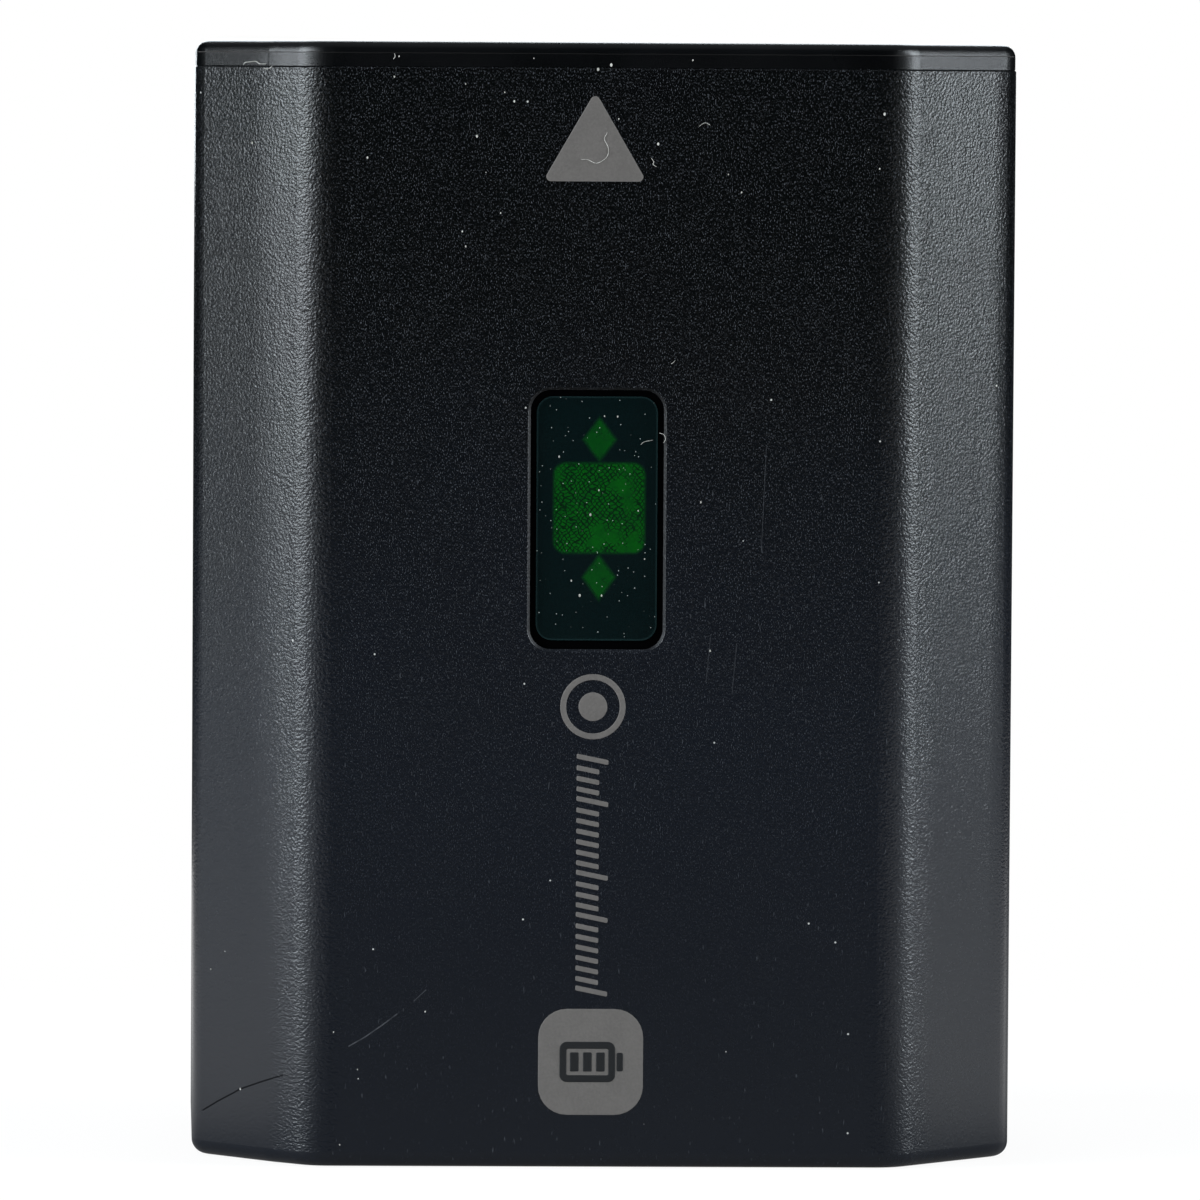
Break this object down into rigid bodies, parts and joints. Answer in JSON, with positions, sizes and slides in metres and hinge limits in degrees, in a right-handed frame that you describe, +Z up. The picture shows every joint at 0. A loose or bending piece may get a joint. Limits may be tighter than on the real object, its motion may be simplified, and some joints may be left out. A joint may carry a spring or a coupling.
{
  "type": "camera battery",
  "caption": "Rechargeable camera battery: black grained case with chamfered front edges, smooth terminal cap with contact slots, recessed label, and cells with a protection board inside.",
  "frame": {"origin": "middle of the bottom of the overall box, on the closed end that the battery stands on", "axes": "+Z up the battery towards the terminal cap, the way it slides into its bay; the marked front faces -Y; +X to the right seen from the front"},
  "size_m": [0.0386, 0.0228, 0.0517],
  "materials": {
    "case_plastic": "fine moulded grain, black",
    "cap_plastic": "smooth satin black",
    "label_film": "dark glossy film",
    "cell_film": "shrunk film over a plated steel can",
    "ring_paper": "plain paper",
    "strap_nickel": "bare nickel strip",
    "pad_foam": "closed cell foam",
    "sheet_paper": "insulating paper",
    "board_laminate": "solder resist on glass laminate",
    "chip_epoxy": "moulded epoxy",
    "part_ceramic": "fired ceramic",
    "block_plastic": "moulded, black",
    "contact_plating": "gold coloured plating"
  },
  "bodies": {
    "root": {"case": "case_plastic", "terminal_cap": "cap_plastic", "security_label": "label_film", "cell_left": "cell_film", "cell_right": "cell_film", "cell_left_ring": "ring_paper", "cell_right_ring": "ring_paper", "positive_strap": "strap_nickel", "negative_strap": "strap_nickel", "series_strap": "strap_nickel", "base_pad": "pad_foam", "board_sheet": "sheet_paper", "protection_board": "board_laminate", "gauge_chip": "chip_epoxy", "charge_switch": "chip_epoxy", "discharge_switch": "chip_epoxy", "protection_chip": "chip_epoxy", "sense_resistor": "part_ceramic", "thermistor": "part_ceramic", "thermal_fuse": "chip_epoxy", "chip_capacitors": "part_ceramic", "contact_block": "block_plastic", "contact_positive": "contact_plating", "contact_data": "contact_plating", "contact_sense": "contact_plating", "contact_negative": "contact_plating"}
  },
  "joints": []
}
